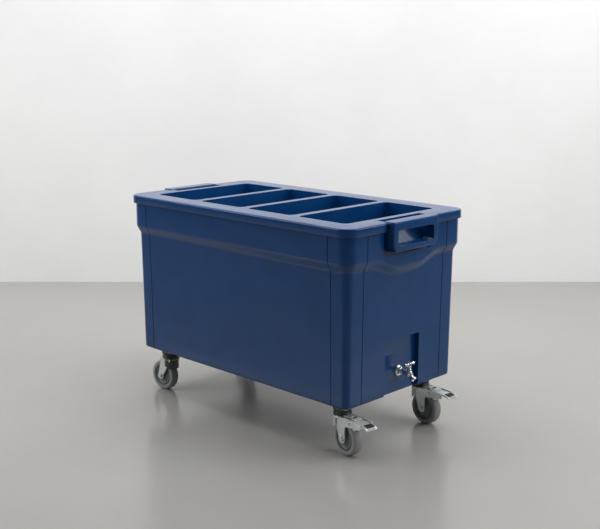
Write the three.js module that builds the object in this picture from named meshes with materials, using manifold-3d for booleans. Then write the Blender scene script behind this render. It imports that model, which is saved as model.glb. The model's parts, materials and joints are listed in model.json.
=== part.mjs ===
import * as THREE from 'three';
import Module from 'manifold-3d';

const wasm = await Module();
wasm.setup();

// ---- driving dimensions, millimetres, floor at z = 0, length along X ----
const RIM_LENGTH = 950;
const RIM_WIDTH = 520;
const RIM_HEIGHT = 655;
const RIM_RADIUS = 44;
const FLANGE_DEPTH = 25;
const DECK_THICKNESS = 5;
const BASE_Z = 150;
const WALL = 5;
const CLEARANCE = 0.3;

// outer skin: how far each level stands in from the rim face
const COLLAR_INSET = 8;
const COLLAR_RADIUS = 37;
const BODY_INSET_TOP = 20;
const BODY_INSET_BASE = 25;
const BODY_RADIUS = 34;
const STEP_TOP_Z = 554;
const STEP_BASE_Z = 534;
const APRON_DROP = 29;
const APRON_FLAT = 45;
const APRON_END = 150;
const SEAM_X = 393;
const SEAM_Y = 174;
const SEAM_DEPTH = 1.6;
const SEAM_HALF = 1.3;
const CORNER_STEPS = 7;

// four wells side by side
const WELL_COUNT = 4;
const WELL_SPAN = 810;
const WEB = 25;
const WELL_HALF_Y = 193;
const WELL_RADIUS = 17;
const WELL_FLOOR_Z = 185;
const WELL_DRAFT = 6;
const WEB_PORT_HALF = 15;
const WEB_PORT_HEIGHT = 15;

// end grips and the hand pockets behind them
const GRIP_FACE_X = 493;
const GRIP_BACK_X = 457;
const GRIP_HALF = 97;
const GRIP_BASE_Z = 574;
const GRIP_TOP_Z = 657;
const GRIP_CHAMFER = 12;
const WINDOW_HALF = 78;
const WINDOW_BASE_Z = 589;
const WINDOW_TOP_Z = 633;
const WINDOW_RADIUS = 7;
const POCKET_HALF = 107;
const POCKET_BACK_X = 427;
const POCKET_FLOOR_Z = 562;
const POCKET_RADIUS = 16;
const SLOT_HALF = 92;
const SLOT_FRONT_X = 454;

// drain recess and tap on the +X end
const RECESS_FACE_X = 436;
const RECESS_HALF = 76;
const RECESS_TOP_Z = 312;
const TAP_Y = 4;
const TAP_Z = 210;
const TAP_BORE = 11;
const TAP_STEM_X = 474;
const TAP_NUT_X = 398.6;

// swivel casters
const CASTER_X = 384;
const CASTER_Y = 176;
const TRAIL = 26;
const WHEEL_RADIUS = 50;
const WHEEL_WIDTH = 30;
const TYRE_BORE = 36;
const LEG_INNER = 19.5;
const LEG_THICKNESS = 3;
const CROWN_Z = 113;
const CROWN_RADIUS = 27;
const BOLT_X = 37;
const BOLT_Y = 29;
const ARM_REACH = 80;
const HINGE_REACH = 29;
const HINGE_Z = 105;
const PIN_RADIUS = 3;
const AXLE_RADIUS = 4.5;
const CASTERS = [
  { name: 'south_east', x: CASTER_X, y: -CASTER_Y, yaw: -10.5, brake: true },
  { name: 'north_east', x: CASTER_X, y: CASTER_Y, yaw: -5.6, brake: true },
  { name: 'south_west', x: -CASTER_X, y: -CASTER_Y, yaw: 184.9, brake: false },
  { name: 'north_west', x: -CASTER_X, y: CASTER_Y, yaw: 168, brake: false },
];

// ---- finishes ----
const BLUE = { color: 0x1b3458, roughness: 0.3, metalness: 0 };
const ZINC = { color: 0xb9bfc0, roughness: 0.35, metalness: 0.9 };
const DARK_STEEL = { color: 0x3c4143, roughness: 0.5, metalness: 0.7 };
const CHROME = { color: 0xd8dcde, roughness: 0.08, metalness: 1 };
const TYRE = { color: 0x6c6c6e, roughness: 0.75, metalness: 0 };
const HUB = { color: 0x505555, roughness: 0.6, metalness: 0 };
const BLACK = { color: 0x161718, roughness: 0.6, metalness: 0 };

const rad = (degrees) => (degrees * Math.PI) / 180;

// ---- solids ----
function solid(geometry) {
  const plain = geometry.index ? geometry.toNonIndexed() : geometry;
  const position = plain.attributes.position;
  const seen = new Map();
  const vertices = [];
  const triangles = [];
  for (let i = 0; i < position.count; i += 1) {
    const p = [position.getX(i), position.getY(i), position.getZ(i)];
    const key = p.map((value) => Math.round(value * 1000)).join(',');
    if (!seen.has(key)) {
      seen.set(key, vertices.length / 3);
      vertices.push(...p);
    }
    triangles.push(seen.get(key));
  }
  const kept = [];
  for (let i = 0; i < triangles.length; i += 3) {
    const [a, b, c] = triangles.slice(i, i + 3);
    if (a !== b && b !== c && a !== c) kept.push(a, b, c);
  }
  return new wasm.Manifold(new wasm.Mesh({
    numProp: 3,
    vertProperties: new Float32Array(vertices),
    triVerts: new Uint32Array(kept),
  }));
}

function geometryOf(manifold) {
  const mesh = manifold.getMesh();
  const geometry = new THREE.BufferGeometry();
  const positions = new Float32Array(mesh.vertProperties);
  geometry.setAttribute('position', new THREE.BufferAttribute(positions, 3));
  geometry.setIndex(new THREE.BufferAttribute(new Uint32Array(mesh.triVerts), 1));
  geometry.computeVertexNormals();
  return geometry;
}

function merged(parts) {
  return parts.reduce((whole, part) => whole.add(part));
}

function box(x0, x1, y0, y1, z0, z1) {
  const geometry = new THREE.BoxGeometry(x1 - x0, y1 - y0, z1 - z0);
  geometry.translate((x0 + x1) / 2, (y0 + y1) / 2, (z0 + z1) / 2);
  return solid(geometry);
}

// closed skin over a stack of rings that all have the same number of points
function loft(rings) {
  const count = rings[0].length;
  const corners = [];
  const push = (...points) => points.forEach((point) => corners.push(...point));
  for (let level = 0; level + 1 < rings.length; level += 1) {
    const low = rings[level];
    const high = rings[level + 1];
    for (let i = 0; i < count; i += 1) {
      const next = (i + 1) % count;
      push(low[i], low[next], high[next], low[i], high[next], high[i]);
    }
  }
  const cap = (ring, up) => {
    const flat = ring.map(([x, y]) => new THREE.Vector2(x, y));
    THREE.ShapeUtils.triangulateShape(flat, []).forEach(([a, b, c]) => {
      if (up) push(ring[a], ring[b], ring[c]);
      else push(ring[a], ring[c], ring[b]);
    });
  };
  cap(rings[0], false);
  cap(rings[rings.length - 1], true);
  const geometry = new THREE.BufferGeometry();
  geometry.setAttribute('position', new THREE.Float32BufferAttribute(corners, 3));
  return solid(geometry);
}

function arcPoints(x, y, radius, from, steps) {
  const points = [];
  for (let i = 0; i <= steps; i += 1) {
    const angle = rad(from + (90 * i) / steps);
    points.push([x + radius * Math.cos(angle), y + radius * Math.sin(angle)]);
  }
  return points;
}

function roundedRectangle(halfX, halfY, radius, steps = 6, centreX = 0) {
  const x = halfX - radius;
  const y = halfY - radius;
  return [
    ...arcPoints(centreX + x, -y, radius, -90, steps),
    ...arcPoints(centreX + x, y, radius, 0, steps),
    ...arcPoints(centreX - x, y, radius, 90, steps),
    ...arcPoints(centreX - x, -y, radius, 180, steps),
  ];
}

const atHeight = (outline, z) => outline.map(([x, y]) => [x, y, z]);

// plan outline of the outer skin with its eight upright seams
function skinOutline(inset, radius, depth) {
  const hx = RIM_LENGTH / 2 - inset;
  const hy = RIM_WIDTH / 2 - inset;
  const notch = (centre) => [
    [centre - SEAM_HALF, 0], [centre, depth], [centre + SEAM_HALF, 0],
  ];
  const end = [...notch(-SEAM_Y)];
  for (let y = -APRON_END; y <= APRON_END; y += 25) end.push([y, 0]);
  end.push(...notch(SEAM_Y));
  const side = [...notch(-SEAM_X), ...notch(SEAM_X)];
  return [
    ...side.map(([x, d]) => [x, -hy + d]),
    ...arcPoints(hx - radius, -hy + radius, radius, -90, CORNER_STEPS),
    ...end.map(([y, d]) => [hx - d, y]),
    ...arcPoints(hx - radius, hy - radius, radius, 0, CORNER_STEPS),
    ...side.map(([x, d]) => [-x, hy - d]),
    ...arcPoints(-hx + radius, hy - radius, radius, 90, CORNER_STEPS),
    ...end.map(([y, d]) => [-hx + d, -y]),
    ...arcPoints(-hx + radius, -hy + radius, radius, 180, CORNER_STEPS),
  ];
}

// the collar dips in a smooth arc below each grip
function apron(x, y) {
  if (Math.abs(x) < 400) return 0;
  const t = (APRON_END - Math.abs(y)) / (APRON_END - APRON_FLAT);
  const s = Math.min(1, Math.max(0, t));
  return APRON_DROP * s * s * (3 - 2 * s);
}

function skinRing(z, inset, radius, dips) {
  return skinOutline(inset, radius, SEAM_DEPTH)
    .map(([x, y]) => [x, y, z - (dips ? apron(x, y) : 0)]);
}

function plainRing(z, inset, radius) {
  const halfX = RIM_LENGTH / 2 - inset;
  return atHeight(roundedRectangle(halfX, RIM_WIDTH / 2 - inset, radius, CORNER_STEPS), z);
}

// prism from an outline drawn in the X-Z plane, centred on y = middle
function alongY(points, half, middle = 0) {
  const shape = new THREE.Shape(points.map(([x, z]) => new THREE.Vector2(x, z)));
  const options = { depth: 2 * half, bevelEnabled: false, curveSegments: 6 };
  const geometry = new THREE.ExtrudeGeometry(shape, options);
  geometry.rotateX(Math.PI / 2);
  geometry.translate(0, middle + half, 0);
  return solid(geometry);
}

// prism from an outline drawn in the Y-Z plane
function alongX(points, x0, x1) {
  const shape = new THREE.Shape(points.map(([y, z]) => new THREE.Vector2(y, z)));
  const options = { depth: x1 - x0, bevelEnabled: false };
  const geometry = new THREE.ExtrudeGeometry(shape, options);
  geometry.rotateX(Math.PI / 2);
  geometry.rotateZ(Math.PI / 2);
  geometry.translate(x0, 0, 0);
  return solid(geometry);
}

function alongZ(points, z0, z1) {
  return loft([atHeight(points, z0), atHeight(points, z1)]);
}

// round piece turned about the local Z axis: profile of [radius, z]
function turnedGeometry(profile, segments) {
  const points = profile.map(([r, z]) => new THREE.Vector2(r, z));
  const geometry = new THREE.LatheGeometry(points, segments);
  geometry.rotateX(Math.PI / 2);
  return geometry;
}

function disc(radius, z0, z1, segments = 24, x = 0, y = 0) {
  const geometry = turnedGeometry([[0, z0], [radius, z0], [radius, z1], [0, z1]], segments);
  geometry.translate(x, y, 0);
  return solid(geometry);
}

function rodAlongX(radius, x0, x1, y, z, segments = 20) {
  const geometry = turnedGeometry([[0, x0], [radius, x0], [radius, x1], [0, x1]], segments);
  geometry.rotateY(Math.PI / 2);
  geometry.translate(0, y, z);
  return solid(geometry);
}

function rodAlongY(radius, y0, y1, x, z, segments = 20) {
  const geometry = turnedGeometry([[0, y0], [radius, y0], [radius, y1], [0, y1]], segments);
  geometry.rotateX(-Math.PI / 2);
  geometry.translate(x, 0, z);
  return solid(geometry);
}

const flipX = (points) => points.map(([x, z]) => [-x, z]).reverse();

// ---- the tub ----
function pocketSection(allowance) {
  const back = POCKET_BACK_X - allowance;
  const foot = GRIP_BACK_X - CLEARANCE - allowance;
  return [
    [back, 700], [back, RIM_HEIGHT - 15], [foot, GRIP_BASE_Z + 12],
    [foot, 500], [520, 500], [520, 700],
  ].reverse();
}

function pocketFront(allowance) {
  const half = POCKET_HALF + allowance;
  const floor = POCKET_FLOOR_Z - allowance;
  const radius = POCKET_RADIUS;
  return [
    ...arcPoints(-half + radius, floor + radius, radius, 180, 5),
    ...arcPoints(half - radius, floor + radius, radius, 270, 5),
    [half, 700], [-half, 700],
  ];
}

function pocketVolume(east, allowance) {
  const section = pocketSection(allowance);
  const prism = alongY(east ? section : flipX(section), 150);
  const front = pocketFront(allowance);
  return prism.intersect(east ? alongX(front, 380, 540) : alongX(front, -540, -380));
}

function tubShell() {
  const skin = loft([
    skinRing(BASE_Z, BODY_INSET_BASE + 6, BODY_RADIUS - 5, false),
    skinRing(BASE_Z + 2, BODY_INSET_BASE + 2.4, BODY_RADIUS - 2, false),
    skinRing(BASE_Z + 7, BODY_INSET_BASE, BODY_RADIUS, false),
    skinRing(STEP_BASE_Z - 6, BODY_INSET_TOP + 0.2, BODY_RADIUS, true),
    skinRing(STEP_BASE_Z, BODY_INSET_TOP - 1, BODY_RADIUS + 1, true),
    skinRing(STEP_TOP_Z, COLLAR_INSET + 1.5, COLLAR_RADIUS - 1, true),
    skinRing(STEP_TOP_Z + 7, COLLAR_INSET, COLLAR_RADIUS, true),
    skinRing(RIM_HEIGHT - DECK_THICKNESS - CLEARANCE, COLLAR_INSET, COLLAR_RADIUS, false),
  ]);
  const hollow = loft([
    plainRing(BASE_Z + WALL, BODY_INSET_BASE + 12, BODY_RADIUS - 8),
    plainRing(BASE_Z + WALL + 6, BODY_INSET_BASE + WALL, BODY_RADIUS - 5),
    plainRing(STEP_BASE_Z, BODY_INSET_TOP + WALL, BODY_RADIUS - 5),
    plainRing(STEP_TOP_Z, COLLAR_INSET + WALL, COLLAR_RADIUS - 5),
    plainRing(RIM_HEIGHT + 10, COLLAR_INSET + WALL, COLLAR_RADIUS - 5),
  ]);
  const trays = [pocketVolume(true, WALL), pocketVolume(false, WALL)];
  trays.push(box(RECESS_FACE_X - WALL, 520, -RECESS_HALF - WALL, RECESS_HALF + WALL,
    100, RECESS_TOP_Z + WALL));
  const withTrays = skin.subtract(hollow).add(merged(trays).intersect(skin));
  const cuts = [pocketVolume(true, 0), pocketVolume(false, 0)];
  cuts.push(box(RECESS_FACE_X, 520, -RECESS_HALF, RECESS_HALF, 100, RECESS_TOP_Z));
  cuts.push(rodAlongX(TAP_BORE, 420, 450, TAP_Y, TAP_Z));
  return withTrays.subtract(merged(cuts));
}

function wellCavity(centreX, halfX, gap = 0) {
  const ring = (z, grow, radius) => atHeight(
    roundedRectangle(halfX + grow - gap, WELL_HALF_Y + grow - gap, radius, 6, centreX), z);
  return loft([
    ring(WELL_FLOOR_Z + gap, -WELL_DRAFT - 10, WELL_RADIUS - 9),
    ring(WELL_FLOOR_Z + 3 + gap, -WELL_DRAFT - 3.5, WELL_RADIUS - 5),
    ring(WELL_FLOOR_Z + 10 + gap, -WELL_DRAFT, WELL_RADIUS - 3),
    ring(RIM_HEIGHT - 4, 0, WELL_RADIUS),
    ring(RIM_HEIGHT, 3, WELL_RADIUS + 3),
    ring(RIM_HEIGHT + 5, 3.2, WELL_RADIUS + 3),
  ]);
}

const wellWidth = (WELL_SPAN - WEB * (WELL_COUNT - 1)) / WELL_COUNT;
const webCentre = (i) => (wellWidth + WEB) * i - WELL_SPAN / 2 - WEB / 2;

// cross web between two wells, with its fillets and the drain port through its foot
function crossWeb(centre) {
  const reach = WEB / 2 + WELL_RADIUS + 2 * WELL_DRAFT;
  const hollow = wellCavity(0, WELL_SPAN / 2, CLEARANCE);
  const slab = hollow.intersect(box(centre - reach, centre + reach, -260, 260, 0, RIM_HEIGHT));
  const step = (wellWidth + WEB) / 2;
  return slab.subtract(merged([
    wellCavity(centre - step, wellWidth / 2),
    wellCavity(centre + step, wellWidth / 2),
    box(centre - reach, centre + reach, -WEB_PORT_HALF, WEB_PORT_HALF,
      WELL_FLOOR_Z - 1, WELL_FLOOR_Z + WEB_PORT_HEIGHT),
  ]));
}

function deckLiner() {
  const radius = RIM_RADIUS;
  const block = loft([
    plainRing(RIM_HEIGHT - FLANGE_DEPTH, 0.6, radius),
    plainRing(RIM_HEIGHT - FLANGE_DEPTH + 1, 0, radius),
    plainRing(RIM_HEIGHT - 4, 0, radius),
    plainRing(RIM_HEIGHT - 1.2, 1.2, radius - 1),
    plainRing(RIM_HEIGHT, 4, radius - 3),
  ]);
  const under = loft([
    plainRing(600, COLLAR_INSET - CLEARANCE, COLLAR_RADIUS + CLEARANCE),
    plainRing(RIM_HEIGHT - DECK_THICKNESS, COLLAR_INSET - CLEARANCE, COLLAR_RADIUS + CLEARANCE),
  ]);
  const half = WELL_SPAN / 2;
  const tank = loft([
    atHeight(roundedRectangle(half + WALL - WELL_DRAFT, WELL_HALF_Y + WALL - WELL_DRAFT,
      WELL_RADIUS), WELL_FLOOR_Z - WALL),
    atHeight(roundedRectangle(half + WALL, WELL_HALF_Y + WALL, WELL_RADIUS + WALL),
      RIM_HEIGHT - 1),
  ]);
  const cuts = [wellCavity(0, half)];
  [-1, 1].forEach((side) => {
    const x0 = side > 0 ? POCKET_BACK_X : -520;
    const x1 = side > 0 ? 520 : -POCKET_BACK_X;
    cuts.push(box(x0, x1, -POCKET_HALF, POCKET_HALF, 600, 700));
  });
  cuts.push(rodAlongX(TAP_BORE, 380, 425, TAP_Y, TAP_Z));
  return block.subtract(under).add(tank).subtract(merged(cuts));
}

function endGrip() {
  const c = GRIP_CHAMFER;
  const face = [
    [-GRIP_HALF + c, GRIP_BASE_Z], [GRIP_HALF - c, GRIP_BASE_Z],
    [GRIP_HALF, GRIP_BASE_Z + c * 1.25], [GRIP_HALF, GRIP_TOP_Z],
    [-GRIP_HALF, GRIP_TOP_Z], [-GRIP_HALF, GRIP_BASE_Z + c * 1.25],
  ];
  const window = roundedRectangle(WINDOW_HALF, (WINDOW_TOP_Z - WINDOW_BASE_Z) / 2,
    WINDOW_RADIUS, 4).map(([y, z]) => [y, z + (WINDOW_TOP_Z + WINDOW_BASE_Z) / 2]);
  const profile = [
    [GRIP_BACK_X, GRIP_BASE_Z], [GRIP_FACE_X - 4, GRIP_BASE_Z], [GRIP_FACE_X, GRIP_BASE_Z + 4],
    [GRIP_FACE_X, GRIP_TOP_Z - 5], [GRIP_FACE_X - 1.5, GRIP_TOP_Z - 1.5],
    [GRIP_FACE_X - 5, GRIP_TOP_Z], [GRIP_BACK_X, GRIP_TOP_Z],
  ];
  const block = alongX(face, GRIP_BACK_X, GRIP_FACE_X).intersect(alongY(profile, 120));
  const earHalf = POCKET_HALF - CLEARANCE;
  const plate = alongZ([
    [POCKET_BACK_X + CLEARANCE, -earHalf], [RIM_LENGTH / 2, -earHalf],
    [GRIP_FACE_X - 5, -GRIP_HALF + 1], [GRIP_FACE_X - 5, GRIP_HALF - 1],
    [RIM_LENGTH / 2, earHalf], [POCKET_BACK_X + CLEARANCE, earHalf],
  ], RIM_HEIGHT - DECK_THICKNESS, RIM_HEIGHT);
  const slot = box(400, SLOT_FRONT_X, -SLOT_HALF, SLOT_HALF, 600, 700);
  return block.add(plate.subtract(slot)).subtract(alongX(window, 440, 520));
}

// ---- the tap: every piece is drawn on the tap axis ----
function tapFlange() {
  const profile = [
    [TAP_BORE - 0.4, 0.3], [16, 0.3], [16, 2.5], [13.5, 4.5], [TAP_BORE - 0.4, 4.5],
    [TAP_BORE - 0.4, 0.3],
  ];
  const geometry = turnedGeometry(profile, 28);
  geometry.rotateY(Math.PI / 2);
  geometry.translate(RECESS_FACE_X, TAP_Y, TAP_Z);
  return solid(geometry);
}

function tapBody() {
  const tail = rodAlongX(TAP_BORE - 0.8, TAP_NUT_X - 11, RECESS_FACE_X + 8, TAP_Y, TAP_Z, 24);
  const barrel = rodAlongX(8.5, RECESS_FACE_X + 6, TAP_STEM_X + 6, TAP_Y, TAP_Z, 20);
  const collar = rodAlongX(12, RECESS_FACE_X + 4.8, RECESS_FACE_X + 11, TAP_Y, TAP_Z, 6);
  const bonnet = disc(9, TAP_Z - 9, TAP_Z + 13, 20, TAP_STEM_X, TAP_Y);
  const neck = disc(6, TAP_Z + 12, TAP_Z + 19, 16, TAP_STEM_X, TAP_Y);
  const spout = turnedGeometry([[0, 0], [7.5, 0], [7.5, 17], [8.6, 19], [8.6, 25], [0, 25]], 20);
  spout.rotateY(rad(131));
  spout.translate(TAP_STEM_X, TAP_Y, TAP_Z);
  const bore = turnedGeometry([[0, 10], [5.4, 10], [5.4, 30], [0, 30]], 16);
  bore.rotateY(rad(131));
  bore.translate(TAP_STEM_X, TAP_Y, TAP_Z);
  return merged([tail, barrel, collar, bonnet, neck, solid(spout)]).subtract(solid(bore));
}

function tapNut() {
  const nut = rodAlongX(15, TAP_NUT_X - 7.5, TAP_NUT_X, TAP_Y, TAP_Z, 6);
  return nut.subtract(rodAlongX(TAP_BORE - 0.5, 380, 402, TAP_Y, TAP_Z, 24));
}

function tapLever() {
  const hub = disc(7, TAP_Z + 19.3, TAP_Z + 31, 20, TAP_STEM_X, TAP_Y);
  const bar = rodAlongY(4, TAP_Y - 21, TAP_Y + 21, TAP_STEM_X, TAP_Z + 27, 14);
  const tips = [-21, 17].map((at) => rodAlongY(5, TAP_Y + at, TAP_Y + at + 4,
    TAP_STEM_X, TAP_Z + 27, 14));
  return merged([hub, bar, ...tips]);
}

// ---- one caster: pivot axis on local Z, wheel trails towards local +X ----
function casterPlate() {
  const plate = alongZ(roundedRectangle(47.5, 40, 8, 4), 146.7, 149.7);
  const cup = solid(turnedGeometry(
    [[0, 126], [25, 126], [28, 131], [28, 140], [33, 147], [0, 147]], 24));
  const holes = [];
  [-1, 1].forEach((i) => [-1, 1].forEach((j) => {
    holes.push(disc(4.4, 140, 155, 8, i * BOLT_X, j * BOLT_Y));
  }));
  return plate.add(cup).subtract(merged(holes));
}

function plateBolt() {
  return disc(7.5, 141, 146.4, 6).add(disc(3.9, 146, 149.6, 8));
}

function swivelRing() {
  return solid(turnedGeometry([
    [0, 113.4], [24.5, 113.4], [26, 116], [26, 121], [23.5, 125.7], [0, 125.7],
  ], 24));
}

function legOutline(brake) {
  const boss = [];
  for (let i = 0; i <= 8; i += 1) {
    const angle = rad(brake ? 205 + (155 * i) / 8 : 170 + (170 * i) / 8);
    boss.push([TRAIL + 12 * Math.cos(angle), WHEEL_RADIUS + 12 * Math.sin(angle)]);
  }
  if (brake) {
    return [
      [-7, CROWN_Z - 2], ...boss, [TRAIL + 12, 86], [TRAIL + 16, 92],
      [TRAIL + ARM_REACH - 2, 100], [TRAIL + ARM_REACH, 103],
      [TRAIL + ARM_REACH, CROWN_Z + 3],
      [TRAIL + 10, CROWN_Z + 3], [CROWN_RADIUS + 3, CROWN_Z], [0, CROWN_Z],
    ];
  }
  return [[-22, CROWN_Z - 2], ...boss, [26, CROWN_Z - 20], [24, CROWN_Z - 2]];
}

function forkSkirt(brake) {
  const depth = brake ? 86 : 92;
  const ring = (radius, z) => disc(radius, z, CROWN_Z, 24);
  const tube = ring(CROWN_RADIUS, depth).subtract(disc(CROWN_RADIUS - 2.6, 60, 108, 24));
  const cuts = [
    box(-2, 60, -60, 60, 60, 106),
    alongY([[-60, 60], [60, 60], [-20, 70], [-27.5, 100], [-60, 100]], 60),
    box(-22, 60, -LEG_INNER, LEG_INNER, 60, 104),
  ];
  return tube.subtract(merged(cuts));
}

function fork(brake) {
  const outline = legOutline(brake);
  const middle = LEG_INNER + LEG_THICKNESS / 2;
  const legs = [-middle, middle].map((y) => alongY(outline, LEG_THICKNESS / 2, y));
  const crown = disc(CROWN_RADIUS, CROWN_Z - 8, CROWN_Z, 24);
  const bridge = box(-14, 24, -LEG_INNER - LEG_THICKNESS, LEG_INNER + LEG_THICKNESS,
    CROWN_Z - 6, CROWN_Z);
  const bores = [rodAlongY(AXLE_RADIUS + 0.4, -40, 40, TRAIL, WHEEL_RADIUS, 16)];
  if (brake) bores.push(rodAlongY(PIN_RADIUS + 0.4, -40, 40, TRAIL + HINGE_REACH, HINGE_Z, 12));
  return merged([...legs, crown, bridge, forkSkirt(brake)]).subtract(merged(bores));
}

// turned about the axle: profile of [radius, across]
function wheelTurned(profile, segments) {
  const geometry = turnedGeometry(profile, segments);
  geometry.rotateX(Math.PI / 2);
  return geometry;
}

function tyreGeometry() {
  const w = WHEEL_WIDTH / 2;
  const r = WHEEL_RADIUS;
  return wheelTurned([
    [TYRE_BORE, -w], [r - 7, -w], [r - 2, -w + 4], [r, -w + 10],
    [r, w - 10], [r - 2, w - 4], [r - 7, w], [TYRE_BORE, w], [TYRE_BORE, -w],
  ], 32);
}

function hubGeometry() {
  const w = WHEEL_WIDTH / 2;
  const half = [
    [AXLE_RADIUS + 0.1, 18.6], [11, 18.6], [14, w - 5], [29, w - 4],
    [31.5, w - 7], [33.5, w - 1], [TYRE_BORE - 0.3, w - 1],
  ];
  const lower = half.map(([r, y]) => [r, -y]);
  return wheelTurned([...lower, ...half.reverse(), lower[0]], 28);
}

function axleBolt() {
  const reach = LEG_INNER + LEG_THICKNESS;
  return merged([
    rodAlongY(AXLE_RADIUS, -reach - 4, reach + 5, 0, 0, 16),
    rodAlongY(7, -reach - 5.5, -reach - 0.4, 0, 0, 6),
    rodAlongY(7.2, reach + 0.4, reach + 6, 0, 0, 6),
  ]);
}

// foot lever drawn about its own hinge: a shoe over the tyre and a tread beyond the fork
function brakePedal() {
  const lever = alongY([
    [-8, -4], [8, -7], [12, -18], [17, -18.5], [19, -7], [30, 1], [52, 3.5],
    [52, 8], [26, 8], [8, 8], [-6, 7],
  ], 16);
  const tread = alongY([
    [53, 3.5], [66, 2.5], [72, 0], [74, -3], [75.5, -2.5], [74, 2], [67, 6.5], [53, 8],
  ], 18);
  const neck = alongY([[46, 3.4], [56, 3.6], [56, 7.4], [46, 7.8]], 16);
  return merged([lever, neck, tread]).subtract(rodAlongY(PIN_RADIUS + 0.1, -40, 40, 0, 0, 16));
}

function pedalPad() {
  return alongY([[56, 8.2], [66.5, 7], [71.5, 4.2], [72, 6], [67, 9.4], [56, 10.6]], 14);
}

function pedalPin() {
  const inner = LEG_INNER + LEG_THICKNESS + CLEARANCE;
  return merged([
    rodAlongY(PIN_RADIUS, -inner - 1, inner + 1, 0, 0, 16),
    rodAlongY(5, -inner - 2.5, -inner, 0, 0, 16),
    rodAlongY(5, inner, inner + 2.5, 0, 0, 16),
  ]);
}

// ---- assembly: drawn about the middle of the tub, then set over the middle of the
// whole box, brake pedals included, which is the origin of the frame ----
const object = new THREE.Group();
object.name = 'tub_trolley';
const trolley = new THREE.Group();
object.add(trolley);

function mesh(name, geometry, finish) {
  const piece = new THREE.Mesh(geometry, new THREE.MeshStandardMaterial(finish));
  piece.name = name;
  return piece;
}

function place(parent, name, shape, finish) {
  const piece = mesh(name, geometryOf(shape), finish);
  parent.add(piece);
  return piece;
}

place(trolley, 'tub_shell', tubShell(), BLUE);
place(trolley, 'deck_liner', deckLiner(), BLUE);
['web_west', 'web_middle', 'web_east'].forEach((name, i) => {
  place(trolley, name, crossWeb(webCentre(i + 1)), BLUE);
});
place(trolley, 'grip_east', endGrip(), BLUE);
place(trolley, 'grip_west', endGrip(), BLUE).rotation.z = Math.PI;
place(trolley, 'tap_flange', tapFlange(), CHROME);
place(trolley, 'tap_body', tapBody(), CHROME);
place(trolley, 'tap_lock_nut', tapNut(), CHROME);
place(trolley, 'tap_lever', tapLever(), CHROME);

function addWheel(parent, name) {
  const wheel = new THREE.Group();
  wheel.position.set(TRAIL, 0, WHEEL_RADIUS);
  wheel.add(mesh(`tyre_${name}`, tyreGeometry(), TYRE));
  wheel.add(mesh(`hub_${name}`, hubGeometry(), HUB));
  place(wheel, `axle_${name}`, axleBolt(), ZINC);
  parent.add(wheel);
}

function addBrake(parent, name) {
  const brake = new THREE.Group();
  brake.position.set(TRAIL + HINGE_REACH, 0, HINGE_Z);
  place(brake, `pedal_${name}`, brakePedal(), ZINC);
  place(brake, `pedal_pad_${name}`, pedalPad(), BLACK);
  place(brake, `pedal_pin_${name}`, pedalPin(), ZINC);
  parent.add(brake);
}

function addCaster({ name, x, y, yaw, brake }) {
  const fixed = new THREE.Group();
  fixed.position.set(x, y, 0);
  place(fixed, `caster_plate_${name}`, casterPlate(), DARK_STEEL);
  [-1, 1].forEach((i) => [-1, 1].forEach((j) => {
    const label = `${i < 0 ? 'w' : 'e'}${j < 0 ? 's' : 'n'}`;
    const bolt = place(fixed, `plate_bolt_${name}_${label}`, plateBolt(), ZINC);
    bolt.position.set(i * BOLT_X, j * BOLT_Y, 0);
  }));
  trolley.add(fixed);
  const swivel = new THREE.Group();
  swivel.position.set(x, y, 0);
  swivel.rotation.z = rad(yaw);
  place(swivel, `swivel_ring_${name}`, swivelRing(), DARK_STEEL);
  place(swivel, `fork_${name}`, fork(brake), ZINC);
  addWheel(swivel, name);
  if (brake) addBrake(swivel, name);
  trolley.add(swivel);
}

CASTERS.forEach(addCaster);
object.updateMatrixWorld(true);
const middle = new THREE.Box3().setFromObject(object, true).getCenter(new THREE.Vector3());
trolley.position.set(-middle.x, -middle.y, 0);

export default object;
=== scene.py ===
import json
import math

import bmesh
import bpy
from mathutils import Matrix, Vector


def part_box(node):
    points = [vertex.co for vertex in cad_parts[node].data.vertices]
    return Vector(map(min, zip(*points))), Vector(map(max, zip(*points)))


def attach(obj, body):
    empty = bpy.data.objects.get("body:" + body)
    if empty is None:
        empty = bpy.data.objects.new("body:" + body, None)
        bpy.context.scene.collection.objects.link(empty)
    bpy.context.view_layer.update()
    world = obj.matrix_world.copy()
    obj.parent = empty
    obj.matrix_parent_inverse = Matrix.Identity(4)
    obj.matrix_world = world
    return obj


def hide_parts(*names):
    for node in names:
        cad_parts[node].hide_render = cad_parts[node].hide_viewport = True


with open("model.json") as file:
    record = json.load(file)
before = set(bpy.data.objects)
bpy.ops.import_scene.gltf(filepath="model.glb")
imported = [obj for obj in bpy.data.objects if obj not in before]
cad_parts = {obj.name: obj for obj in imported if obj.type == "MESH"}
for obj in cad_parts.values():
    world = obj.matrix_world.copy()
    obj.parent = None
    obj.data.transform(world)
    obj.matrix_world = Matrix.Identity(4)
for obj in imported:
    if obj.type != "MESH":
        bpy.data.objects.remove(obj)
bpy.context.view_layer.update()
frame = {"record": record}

MM = 0.001
JOINTS = {joint["name"]: joint for joint in frame["record"]["behaviour"]["joints"]}

# the tub is drawn about its own middle; this is where that middle stands in the frame
RIM_LOW, RIM_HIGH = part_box("deck_liner")
MIDDLE = Vector(((RIM_LOW.x + RIM_HIGH.x) / 2, (RIM_LOW.y + RIM_HIGH.y) / 2, 0))
TUB = Matrix.Translation(MIDDLE)
RIM_Z = RIM_HIGH.z / MM
RIM_HALF_X = (RIM_HIGH.x - RIM_LOW.x) / 2 / MM
RIM_HALF_Y = (RIM_HIGH.y - RIM_LOW.y) / 2 / MM
FLANGE_Z = RIM_Z - 25
BASE_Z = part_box("tub_shell")[0].z / MM


# ---- shaping helpers, in millimetres ----
WELD = 2e-6  # metres
ROOT_3 = 1.732
THROUGH = 40  # half length of a cutter that passes through a whole fork or lever


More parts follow.
